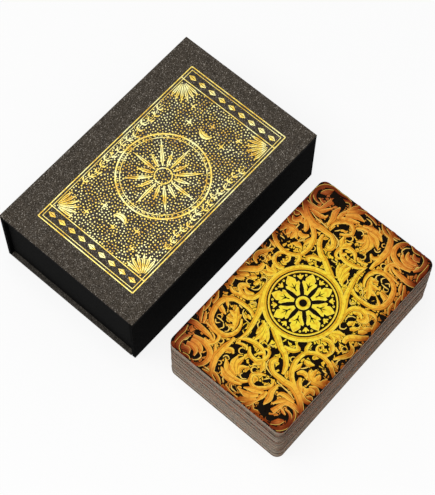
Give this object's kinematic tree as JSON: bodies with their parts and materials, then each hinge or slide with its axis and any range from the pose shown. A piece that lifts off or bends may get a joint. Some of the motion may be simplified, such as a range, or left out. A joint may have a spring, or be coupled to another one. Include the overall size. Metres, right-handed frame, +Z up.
{
  "type": "boxed fortune-telling card deck",
  "caption": "Pack of round-cornered fortune-telling cards standing backs up beside its book-style rigid box with a hinged lid and a magnetic front flap.",
  "frame": {"origin": "middle of the set's footprint, on the table", "axes": "+Z up, X along the long sides, +Y from the pack of cards towards the box and its spine"},
  "size_m": [0.141, 0.1792, 0.0445],
  "materials": {
    "cover_paper": "matt flecked charcoal wrapping paper",
    "tray_paper": "matt black paper",
    "lining_paper": "matt black lining paper",
    "greyboard": "raw greyboard",
    "magnet": "nickel-plated disc",
    "keeper_steel": "bare sheet steel",
    "card": "coated card with a gold scroll back",
    "card_packet": "grey-brown cut edges of coated cards"
  },
  "bodies": {
    "box": {"base_board": "greyboard", "base_wrap": "cover_paper", "spine_board": "greyboard", "spine_wrap": "cover_paper", "tray_floor": "greyboard", "tray_front_wall": "greyboard", "tray_back_wall": "greyboard", "tray_left_wall": "greyboard", "tray_right_wall": "greyboard", "tray_wrap": "tray_paper", "floor_liner": "lining_paper", "keeper_plate_left": "keeper_steel", "keeper_plate_right": "keeper_steel"},
    "lid": {"lid_board": "greyboard", "lid_wrap": "cover_paper", "lid_lining": "lining_paper"},
    "flap": {"flap_board": "greyboard", "flap_wrap": "cover_paper", "flap_lining": "lining_paper", "flap_magnet_left": "magnet", "flap_magnet_right": "magnet"},
    "packet_01": {"packet_01": "card_packet"},
    "packet_02": {"packet_02": "card_packet"},
    "packet_03": {"packet_03": "card_packet"},
    "packet_04": {"packet_04": "card_packet"},
    "packet_05": {"packet_05": "card_packet"},
    "packet_06": {"packet_06": "card_packet"},
    "packet_07": {"packet_07": "card_packet"},
    "packet_08": {"packet_08": "card_packet"},
    "packet_09": {"packet_09": "card_packet"},
    "packet_10": {"packet_10": "card_packet"},
    "packet_11": {"packet_11": "card_packet"},
    "packet_12": {"packet_12": "card_packet"},
    "packet_13": {"packet_13": "card_packet"},
    "packet_14": {"packet_14": "card_packet"},
    "card_01": {"card_01": "card"},
    "card_02": {"card_02": "card"},
    "card_03": {"card_03": "card"},
    "card_04": {"card_04": "card"},
    "card_05": {"card_05": "card"},
    "card_06": {"card_06": "card"},
    "card_07": {"card_07": "card"},
    "card_08": {"card_08": "card"},
    "card_09": {"card_09": "card"},
    "card_10": {"card_10": "card"},
    "card_11": {"card_11": "card"},
    "card_12": {"card_12": "card"},
    "card_13": {"card_13": "card"},
    "card_14": {"card_14": "card"},
    "card_15": {"card_15": "card"},
    "card_16": {"card_16": "card"},
    "card_17": {"card_17": "card"},
    "card_18": {"card_18": "card"},
    "card_19": {"card_19": "card"},
    "card_20": {"card_20": "card"},
    "card_21": {"card_21": "card"},
    "top_card": {"top_card": "card"}
  },
  "joints": [
    {"name": "lid_hinge", "type": "hinge", "parent": "box", "child": "lid", "pos_m": [0, 0.08965, 0.0445], "axis": [-1, 0, 0], "range_deg": [0, 200]},
    {"name": "flap_hinge", "type": "hinge", "parent": "lid", "child": "flap", "pos_m": [0, -0.00035, 0.0445], "axis": [-1, 0, 0], "range_deg": [0, 80]},
    {"name": "pack_slide", "type": "slide", "parent": "box", "child": "packet_01", "axis": [0, -1, 0], "range_m": [0, 0.08]},
    {"name": "pack_spread", "type": "slide", "parent": "packet_01", "child": "card_21", "axis": [0, -1, 0], "range_m": [0, 0.024]},
    {"name": "packet_02_spread", "type": "slide", "parent": "packet_01", "child": "packet_02", "axis": [0, -1, 0], "range_m": [0, 0.00129]},
    {"name": "packet_03_spread", "type": "slide", "parent": "packet_01", "child": "packet_03", "axis": [0, -1, 0], "range_m": [0, 0.00258]},
    {"name": "packet_04_spread", "type": "slide", "parent": "packet_01", "child": "packet_04", "axis": [0, -1, 0], "range_m": [0, 0.00387]},
    {"name": "packet_05_spread", "type": "slide", "parent": "packet_01", "child": "packet_05", "axis": [0, -1, 0], "range_m": [0, 0.00516]},
    {"name": "packet_06_spread", "type": "slide", "parent": "packet_01", "child": "packet_06", "axis": [0, -1, 0], "range_m": [0, 0.00645]},
    {"name": "packet_07_spread", "type": "slide", "parent": "packet_01", "child": "packet_07", "axis": [0, -1, 0], "range_m": [0, 0.00774]},
    {"name": "packet_08_spread", "type": "slide", "parent": "packet_01", "child": "packet_08", "axis": [0, -1, 0], "range_m": [0, 0.00902]},
    {"name": "packet_09_spread", "type": "slide", "parent": "packet_01", "child": "packet_09", "axis": [0, -1, 0], "range_m": [0, 0.01031]},
    {"name": "packet_10_spread", "type": "slide", "parent": "packet_01", "child": "packet_10", "axis": [0, -1, 0], "range_m": [0, 0.0116]},
    {"name": "packet_11_spread", "type": "slide", "parent": "packet_01", "child": "packet_11", "axis": [0, -1, 0], "range_m": [0, 0.01289]},
    {"name": "packet_12_spread", "type": "slide", "parent": "packet_01", "child": "packet_12", "axis": [0, -1, 0], "range_m": [0, 0.01418]},
    {"name": "packet_13_spread", "type": "slide", "parent": "packet_01", "child": "packet_13", "axis": [0, -1, 0], "range_m": [0, 0.01547]},
    {"name": "packet_14_spread", "type": "slide", "parent": "packet_01", "child": "packet_14", "axis": [0, -1, 0], "range_m": [0, 0.01676]},
    {"name": "card_01_spread", "type": "slide", "parent": "packet_01", "child": "card_01", "axis": [0, -1, 0], "range_m": [0, 0.01756]},
    {"name": "card_02_spread", "type": "slide", "parent": "packet_01", "child": "card_02", "axis": [0, -1, 0], "range_m": [0, 0.01788]},
    {"name": "card_03_spread", "type": "slide", "parent": "packet_01", "child": "card_03", "axis": [0, -1, 0], "range_m": [0, 0.01821]},
    {"name": "card_04_spread", "type": "slide", "parent": "packet_01", "child": "card_04", "axis": [0, -1, 0], "range_m": [0, 0.01853]},
    {"name": "card_05_spread", "type": "slide", "parent": "packet_01", "child": "card_05", "axis": [0, -1, 0], "range_m": [0, 0.01885]},
    {"name": "card_06_spread", "type": "slide", "parent": "packet_01", "child": "card_06", "axis": [0, -1, 0], "range_m": [0, 0.01917]},
    {"name": "card_07_spread", "type": "slide", "parent": "packet_01", "child": "card_07", "axis": [0, -1, 0], "range_m": [0, 0.0195]},
    {"name": "card_08_spread", "type": "slide", "parent": "packet_01", "child": "card_08", "axis": [0, -1, 0], "range_m": [0, 0.01982]},
    {"name": "card_09_spread", "type": "slide", "parent": "packet_01", "child": "card_09", "axis": [0, -1, 0], "range_m": [0, 0.02014]},
    {"name": "card_10_spread", "type": "slide", "parent": "packet_01", "child": "card_10", "axis": [0, -1, 0], "range_m": [0, 0.02046]},
    {"name": "card_11_spread", "type": "slide", "parent": "packet_01", "child": "card_11", "axis": [0, -1, 0], "range_m": [0, 0.02078]},
    {"name": "card_12_spread", "type": "slide", "parent": "packet_01", "child": "card_12", "axis": [0, -1, 0], "range_m": [0, 0.02111]},
    {"name": "card_13_spread", "type": "slide", "parent": "packet_01", "child": "card_13", "axis": [0, -1, 0], "range_m": [0, 0.02143]},
    {"name": "card_14_spread", "type": "slide", "parent": "packet_01", "child": "card_14", "axis": [0, -1, 0], "range_m": [0, 0.02175]},
    {"name": "card_15_spread", "type": "slide", "parent": "packet_01", "child": "card_15", "axis": [0, -1, 0], "range_m": [0, 0.02207]},
    {"name": "card_16_spread", "type": "slide", "parent": "packet_01", "child": "card_16", "axis": [0, -1, 0], "range_m": [0, 0.02239]},
    {"name": "card_17_spread", "type": "slide", "parent": "packet_01", "child": "card_17", "axis": [0, -1, 0], "range_m": [0, 0.02272]},
    {"name": "card_18_spread", "type": "slide", "parent": "packet_01", "child": "card_18", "axis": [0, -1, 0], "range_m": [0, 0.02304]},
    {"name": "card_19_spread", "type": "slide", "parent": "packet_01", "child": "card_19", "axis": [0, -1, 0], "range_m": [0, 0.02336]},
    {"name": "card_20_spread", "type": "slide", "parent": "packet_01", "child": "card_20", "axis": [0, -1, 0], "range_m": [0, 0.02368]},
    {"name": "top_card_deal", "type": "slide", "parent": "card_21", "child": "top_card", "axis": [-1, 0, 0], "range_m": [0, 0.06]}
  ],
  "couplings": [
    {"joint": "flap_hinge", "follows": "lid_hinge", "ratio": 0.4},
    {"joint": "packet_02_spread", "follows": "pack_spread", "ratio": 0.0537},
    {"joint": "packet_03_spread", "follows": "pack_spread", "ratio": 0.1074},
    {"joint": "packet_04_spread", "follows": "pack_spread", "ratio": 0.1611},
    {"joint": "packet_05_spread", "follows": "pack_spread", "ratio": 0.2148},
    {"joint": "packet_06_spread", "follows": "pack_spread", "ratio": 0.2685},
    {"joint": "packet_07_spread", "follows": "pack_spread", "ratio": 0.3221},
    {"joint": "packet_08_spread", "follows": "pack_spread", "ratio": 0.3758},
    {"joint": "packet_09_spread", "follows": "pack_spread", "ratio": 0.4295},
    {"joint": "packet_10_spread", "follows": "pack_spread", "ratio": 0.4832},
    {"joint": "packet_11_spread", "follows": "pack_spread", "ratio": 0.5369},
    {"joint": "packet_12_spread", "follows": "pack_spread", "ratio": 0.5906},
    {"joint": "packet_13_spread", "follows": "pack_spread", "ratio": 0.6443},
    {"joint": "packet_14_spread", "follows": "pack_spread", "ratio": 0.698},
    {"joint": "card_01_spread", "follows": "pack_spread", "ratio": 0.7315},
    {"joint": "card_02_spread", "follows": "pack_spread", "ratio": 0.745},
    {"joint": "card_03_spread", "follows": "pack_spread", "ratio": 0.7584},
    {"joint": "card_04_spread", "follows": "pack_spread", "ratio": 0.7718},
    {"joint": "card_05_spread", "follows": "pack_spread", "ratio": 0.7852},
    {"joint": "card_06_spread", "follows": "pack_spread", "ratio": 0.7987},
    {"joint": "card_07_spread", "follows": "pack_spread", "ratio": 0.8121},
    {"joint": "card_08_spread", "follows": "pack_spread", "ratio": 0.8255},
    {"joint": "card_09_spread", "follows": "pack_spread", "ratio": 0.8389},
    {"joint": "card_10_spread", "follows": "pack_spread", "ratio": 0.8523},
    {"joint": "card_11_spread", "follows": "pack_spread", "ratio": 0.8658},
    {"joint": "card_12_spread", "follows": "pack_spread", "ratio": 0.8792},
    {"joint": "card_13_spread", "follows": "pack_spread", "ratio": 0.8926},
    {"joint": "card_14_spread", "follows": "pack_spread", "ratio": 0.906},
    {"joint": "card_15_spread", "follows": "pack_spread", "ratio": 0.9195},
    {"joint": "card_16_spread", "follows": "pack_spread", "ratio": 0.9329},
    {"joint": "card_17_spread", "follows": "pack_spread", "ratio": 0.9463},
    {"joint": "card_18_spread", "follows": "pack_spread", "ratio": 0.9597},
    {"joint": "card_19_spread", "follows": "pack_spread", "ratio": 0.9732},
    {"joint": "card_20_spread", "follows": "pack_spread", "ratio": 0.9866}
  ]
}
